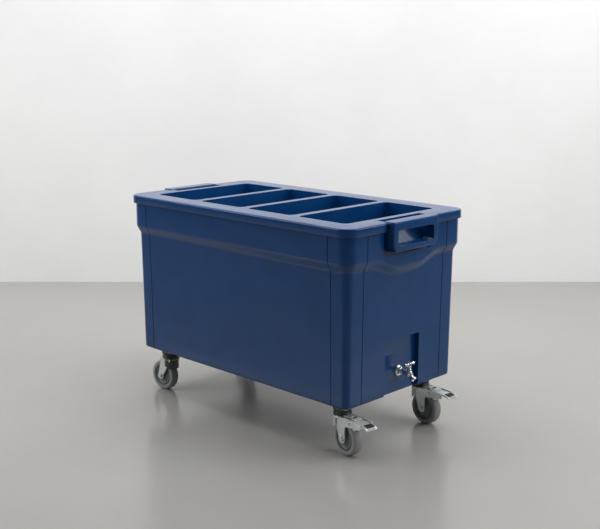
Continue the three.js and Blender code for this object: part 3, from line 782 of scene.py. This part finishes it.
def leg_outline(brake):
    boss = []
    start_angle, sweep = (205, 155) if brake else (170, 170)
    for i in range(BOSS_STEPS + 1):
        angle = math.radians(start_angle + sweep * i / BOSS_STEPS)
        boss.append((TRAIL + BOSS_R * math.cos(angle), AXLE_Z + BOSS_R * math.sin(angle)))
    if brake:
        return [(-9, CROWN_Z - 1), *boss, (TRAIL + 12.2, 84), (TRAIL + 13.5, 88.5),
                (TRAIL + 17, 91.5), (TRAIL + 50, 95.5), (TRAIL + 74, 98.5),
                (TRAIL + 78.5, 100.5), (TRAIL + 80, 103.5), (TRAIL + 79.6, CROWN_Z + 1.4),
                (TRAIL + 77.5, CROWN_Z + 3), (TRAIL + 34, CROWN_Z + 3),
                (TRAIL + 12, CROWN_Z + 3), (CROWN_R + 3, CROWN_Z), (0, CROWN_Z)]
    return [(-22, CROWN_Z - 1), *boss, (26, CROWN_Z - 20), (25, CROWN_Z - 1)]


def front_skirt(brake):
    """The pressing wraps round in front of the wheel and narrows downwards."""
    bm = bmesh.new()
    heights = (CROWN_Z - 0.5, 104, 95, 86, 78)
    verts = [bm.verts.new((0, CROWN_R * MM, z * MM)) for z in heights]
    edges = [bm.edges.new(pair) for pair in zip(verts, verts[1:])]
    bmesh.ops.spin(bm, geom=verts + edges, cent=(0, 0, 0), axis=(0, 0, 1),
                   angle=math.pi, steps=36, use_merge=False)
    slice_at(bm, (-8, 0, 80 if brake else 84), (0.55, 0, -0.83), clear=True)
    bmesh.ops.recalc_face_normals(bm, faces=bm.faces)
    bmesh.ops.solidify(bm, geom=bm.faces[:], thickness=2.6 * MM)
    return bm


def fork_pressing(brake):
    outline = leg_outline(brake)
    middle = LEG_INNER + SHEET / 2
    legs = [prism(outline, y - SHEET / 2, y + SHEET / 2) for y in (-middle, middle)]
    crown = turned([(0, CROWN_Z - 8), (CROWN_R - 3, CROWN_Z - 8), (CROWN_R, CROWN_Z - 6),
                    (CROWN_R, CROWN_Z - 2.5), (CROWN_R - 0.8, CROWN_Z - 0.8),
                    (CROWN_R - 2.6, CROWN_Z), (0, CROWN_Z)], 64)
    bridge = block((-14, -LEG_INNER - SHEET, CROWN_Z - 6), (24, LEG_INNER + SHEET, CROWN_Z - 0.2))
    bm = together(crown, bridge, *legs)
    bores = [moved(rod(AXLE_BORE, -THROUGH, THROUGH, 32),
                   place(TRAIL, 0, AXLE_Z) @ turn(90, "X"))]
    if brake:
        bores.append(moved(rod(HINGE_BORE, -THROUGH, THROUGH, 24),
                           place(TRAIL + HINGE[0], 0, HINGE[1]) @ turn(90, "X")))
    return without(bm, *bores)


def tyre_ring():
    half = [(36.2, 14.6), (38, 15), (43, 15), (45.6, 14.3), (47.6, 12.4), (49, 9.6), (49.7, 6),
            (50, 2.2)]
    return turned([(r, -w) for r, w in half] + [(r, w) for r, w in reversed(half)], 96)


def wheel_hub():
    """Dished disc with a deep ring groove just inside the tyre."""
    half = [(4.6, 18.6), (10.4, 18.6), (11.2, 18), (12.4, 12.8), (14, 11.6), (20, 11.2),
            (20.8, 10.6), (26.5, 10.8), (27.6, 12), (30.2, 12.4), (31, 11.6), (31.4, 7.6),
            (33, 7.2), (33.6, 8), (33.8, 13), (34.6, 14), (35.6, 14)]
    return turned([(r, -w) for r, w in half] + [(r, w) for r, w in reversed(half)], 96)


def axle_and_nut():
    reach = LEG_INNER + SHEET
    shank = rod(4.5, -reach - 4, reach + 5, 28, 0.5)
    head = hexagon(13, -reach - 5.5, -reach - 0.4)
    washer = turned([(0, -reach - 1.4), (8.2, -reach - 1.4), (8.2, -reach - 0.3),
                     (0, -reach - 0.3)], 40)
    nut = hexagon(13, reach + 0.4, reach + 6)
    return together(shank, head, washer, nut)


def brake_lever():
    """Pressed lever on its own hinge: shoe over the tyre, tread beyond the fork."""
    side = [(-8, -4), (8, -7), (12, -18), (17, -18.5), (19, -7), (30, 1), (52, 3.5), (52, 8),
            (26, 8), (8, 8), (-6, 7)]
    body = prism(side, -16, 16)
    hollow = prism([(-20, -9), (10, -9), (12, -30), (40, -30), (40, 4.6), (24, 5), (-20, 5)],
                   -13, 13)
    shoe = prism([(11, 2), (11.6, -17.6), (16.6, -18), (19, 2)], -14, 14)
    tread = prism([(50, 3.6), (58, 3.3), (66, 2.5), (70, 1), (72.4, -0.8), (74, -2.8),
                   (75.2, -2.4), (75, -0.4), (73.6, 2.4), (71, 4.6), (67, 6.4), (60, 7.5),
                   (50, 7.9)], -18, 18)
    notches = [block((50, -30, -10), (53.2, -16, 20)), block((50, 16, -10), (53.2, 30, 20))]
    cleat = block((72.4, -14, 0), (73.8, 14, 3.6))
    bm = together(without(body, hollow), shoe, without(tread, *notches), cleat)
    return without(bm, moved(rod(LEVER_BORE, -THROUGH, THROUGH, 24), turn(90, "X")))


def tread_pad():
    bm = prism([(55.5, 7.9), (66.6, 6.7), (71, 4.8), (71.8, 6.2), (67, 8.8), (56, 10.2)], -13, 13)
    grooves = [block((x, -20, low), (x + 1.5, 20, 14)) for x, low in
               ((58, 8.9), (61.6, 8.5), (65.2, 7.9), (68.6, 7))]
    return without(bm, *grooves)


def hinge_pin():
    inner = LEG_INNER + SHEET + 0.3
    end = inner + 2.5
    return turned([(0, -end), (3.6, -end), (4.8, -end + 0.8), (5, -inner), (3, -inner),
                   (3, inner), (5, inner), (4.8, end - 0.8), (3.6, end), (0, end)], 36)


def lock_cover():
    """Pressed cover between the arms that ties the swivel lock to the lever."""
    plate = prism([(16, 113.4), (32, 116.2), (58, 116.4), (72, 115.2), (72.4, 117), (58, 118.6),
                   (32, 118.4), (16, 116)], -14, 14)
    holes = [moved(rod(4, 90, 130, 28), place(36, y)) for y in (-6, 6)]
    slot = block((48, -8, 90), (60, 8, 130))
    round_edges(slot, edges_along(slot, 2), 3, 4)
    return without(plate, *holes, slot)


def add_caster(name):
    swivel = JOINTS[f"caster_swivel_{name}"]
    wheel = JOINTS[f"wheel_turn_{name}"]
    brake = f"brake_press_{name}" in JOINTS
    pivot = Vector(swivel["pos_m"])
    lead = Vector(wheel["pos_m"]) - pivot
    yaw = math.degrees(math.atan2(lead.y, lead.x))
    fixed = Matrix.Translation((pivot.x, pivot.y, 0))
    turning = fixed @ turn(yaw, "Z")
    rolling = turning @ place(TRAIL, 0, AXLE_Z) @ turn(90, "X")
    # The top plate and its cup take the dark steel as painted shade, standing for the shadow right
    # under the tub.
    piece(f"caster_top_{name}", top_plate(), "swivel_steel", "tub", [f"caster_plate_{name}"],
          fixed, soft=0.5, segments=2)
    for spot, (x, y) in BOLT_SPOTS.items():
        piece(f"bolt_{name}_{spot}", plate_bolt(), "zinc_steel", "tub",
              [f"plate_bolt_{name}_{spot}"], fixed @ place(x, y))
    body = f"swivel_{name}"
    # The ball race is a dark steel part whose darkness also serves as painted shade under the tub.
    piece(f"ball_race_{name}", ball_race(), "swivel_steel", body, [f"swivel_ring_{name}"],
          turning, smooth=50)
    piece(f"fork_pressing_{name}", fork_pressing(brake), "zinc_steel", body,
          [f"fork_{name}"], turning, soft=0.8, segments=3, limit=30)
    # Unbraked casters get a dark skirt as painted shade for the side that faces away from the
    # lamps; braked ones stay zinc like the rest of the pressing.
    piece(f"fork_skirt_{name}", front_skirt(brake), "zinc_steel" if brake else "swivel_steel",
          body, (), turning, smooth=40)
    piece(f"wheel_tyre_{name}", tyre_ring(), "tyre_rubber", f"wheel_{name}", [f"tyre_{name}"],
          rolling, smooth=40)
    piece(f"wheel_hub_{name}", wheel_hub(), "hub_plastic", f"wheel_{name}", [f"hub_{name}"],
          rolling, smooth=40)
    piece(f"axle_bolt_{name}", axle_and_nut(), "zinc_steel", body, [f"axle_{name}"], rolling)
    if brake:
        hinge = turning @ place(TRAIL + HINGE[0], 0, HINGE[1])
        piece(f"brake_lever_{name}", brake_lever(), "zinc_steel", f"brake_{name}",
              [f"pedal_{name}"], hinge, soft=0.7, segments=2)
        piece(f"tread_pad_{name}", tread_pad(), "pedal_rubber", f"brake_{name}",
              [f"pedal_pad_{name}"], hinge, soft=0.4, segments=2)
        piece(f"hinge_pin_{name}", hinge_pin(), "zinc_steel", body, [f"pedal_pin_{name}"],
              hinge @ turn(90, "X"))
        piece(f"lock_cover_{name}", lock_cover(), "zinc_steel", body, (), turning,
              soft=0.5, segments=2)


for corner in ("south_east", "north_east", "south_west", "north_west"):
    add_caster(corner)


# ---- room: pale wall, grey floor, soft light ----
def room_finish(name, colour, rough, specular):
    material, tree, shader, where = start(name, colour, 0, rough, Specular_IOR_Level=specular)
    cloud = noise(tree, 1.3, 5, 0.6, where)
    shade = [tuple(c * f for c in colour) for f in (0.96, 1.04)]
    tree.links.new(mixed(tree, spread(tree, cloud, 0.3, 0.7), *shade), shader.inputs["Base Color"])
    tree.links.new(spread(tree, noise(tree, 3, 4, 0.6, where), 0.3, 0.7, rough - 0.04,
                          rough + 0.06), shader.inputs["Roughness"])
    return material


def seen_from_front(material):
    """Clear from behind, so that the wall doesn't hide the tub in a view from the back."""
    tree = material.node_tree
    facing = tree.nodes.new("ShaderNodeNewGeometry")
    tree.links.new(maths(tree, "SUBTRACT", 1, facing.outputs["Backfacing"]),
                   tree.nodes["Principled BSDF"].inputs["Alpha"])
    return material


VIEW_YAW, VIEW_PITCH, LENS = 44.513, 11.892, 61.905
AHEAD = Vector((-math.sin(math.radians(VIEW_YAW)), math.cos(math.radians(VIEW_YAW)), 0))
EYE = MIDDLE + Vector((2.2192, -2.2128, 1.1159))
WALL_AWAY = 4.89
FLOOR_DEPTH, ROOM_HALF, WALL_HALF = 5, 7, 2.5


def sheet(name, centre, u, v, finish):
    bm = bmesh.new()
    bmesh.ops.create_grid(bm, x_segments=2, y_segments=2, size=1)
    spread_out = Matrix.Identity(4)
    for column, way in enumerate((u, v, u.cross(v).normalized(), centre)):
        for row in range(3):
            spread_out[row][column] = way[row]
    bmesh.ops.transform(bm, matrix=spread_out, verts=bm.verts)
    mesh = bpy.data.meshes.new(name)
    bm.to_mesh(mesh)
    bm.free()
    mesh.materials.append(finish)
    obj = bpy.data.objects.new(name, mesh)
    bpy.context.scene.collection.objects.link(obj)


SIDEWAYS = Vector((-AHEAD.y, AHEAD.x, 0))
WALL_FOOT = Vector((EYE.x, EYE.y, 0)) + AHEAD * WALL_AWAY
sheet("floor", WALL_FOOT - AHEAD * FLOOR_DEPTH, SIDEWAYS * ROOM_HALF, AHEAD * -FLOOR_DEPTH,
      room_finish("floor_finish", (0.33, 0.322, 0.30), 0.2, 0.5))
sheet("wall", WALL_FOOT + Vector((0, 0, WALL_HALF)), SIDEWAYS * -ROOM_HALF,
      Vector((0, 0, WALL_HALF)),
      seen_from_front(room_finish("wall_finish", (0.8, 0.8, 0.8), 0.8, 0.2)))


def lamp(name, spot, towards, width, height, power):
    data = bpy.data.lights.new(name, "AREA")
    data.shape, data.size, data.size_y = "RECTANGLE", width, height
    data.energy = power
    obj = bpy.data.objects.new(name, data)
    obj.location = spot
    obj.rotation_euler = (towards - spot).to_track_quat("-Z", "Y").to_euler()
    bpy.context.scene.collection.objects.link(obj)


TARGET = MIDDLE + Vector((0, 0, 0.3))
lamp("overhead", MIDDLE + Vector((-0.1, 0.3, 3.3)), TARGET, width=4, height=3.2, power=112)
lamp("from_right", MIDDLE + Vector((2.9, 1.7, 1.9)), TARGET, width=2.4, height=2, power=56)
lamp("from_left", MIDDLE + Vector((-2.4, -3.0, 2.2)), TARGET, width=2.5, height=2, power=62)
lamp("wall_wash", WALL_FOOT - AHEAD * 2.2 + Vector((0, 0, 2.2)), WALL_FOOT + Vector((0, 0, 1.7)),
     width=7, height=1, power=38)

bpy.context.scene.view_settings.view_transform = "Standard"
world = bpy.data.worlds.new("room_air")
world.use_nodes = True
air = world.node_tree.nodes["Background"]
air.inputs["Color"].default_value = (0.95, 0.97, 1.0, 1)
air.inputs["Strength"].default_value = 0.13
bpy.context.scene.world = world

camera = bpy.data.cameras.new("camera")
camera.lens, camera.sensor_width, camera.sensor_fit = LENS, 36, "HORIZONTAL"
camera.clip_start, camera.clip_end = 0.05, 60
eye = bpy.data.objects.new("camera", camera)
eye.location = EYE
down = math.sin(math.radians(VIEW_PITCH))
level = math.cos(math.radians(VIEW_PITCH))
eye.rotation_euler = (AHEAD * level - Vector((0, 0, down))).to_track_quat("-Z", "Y").to_euler()
bpy.context.scene.collection.objects.link(eye)
bpy.context.scene.camera = eye

bpy.context.view_layer.update()
